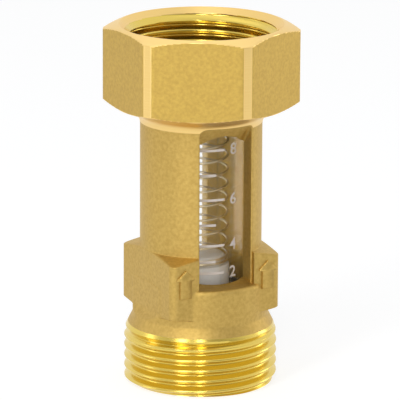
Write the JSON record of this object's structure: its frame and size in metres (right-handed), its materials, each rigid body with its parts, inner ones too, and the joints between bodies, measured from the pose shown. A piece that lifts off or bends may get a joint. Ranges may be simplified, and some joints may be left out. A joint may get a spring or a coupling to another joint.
{
  "type": "flow meter",
  "caption": "In-line variable-area flow meter: brass housing with hexagonal threaded socket, threaded spigot, windowed clear sight tube with printed scale, and a sprung float inside.",
  "frame": {"origin": "centre of the inlet end face, at the bottom of the threaded spigot", "axes": "+Z along the flow from the spigot to the hexagonal socket; the scale window faces -Y; the hexagon has flats at +X and -X"},
  "size_m": [0.03, 0.0338, 0.0628],
  "materials": {
    "brass_forged": "blasted forging skin with bright turned faces",
    "clear_tube": "clear, polished",
    "black_seat": "moulded black",
    "seal_rubber": "moulded rubber",
    "float_grey": "moulded light grey",
    "spring_steel": "drawn stainless wire",
    "ring_steel": "stamped spring steel",
    "retainer_black": "moulded black"
  },
  "bodies": {
    "housing": {"housing": "brass_forged", "sight_tube": "clear_tube", "lower_seat": "black_seat", "lower_seal": "seal_rubber", "upper_seal": "seal_rubber", "upper_retainer": "retainer_black", "snap_ring": "ring_steel", "return_spring": "spring_steel"},
    "float": {"float": "float_grey"}
  },
  "joints": [
    {"name": "float_slide", "type": "slide", "parent": "housing", "child": "float", "axis": [0, 0, 1], "range_m": [0, 0.0213], "stiffness_N_per_m": 20, "springref_m": -0.004, "deforming": ["return_spring"]}
  ]
}
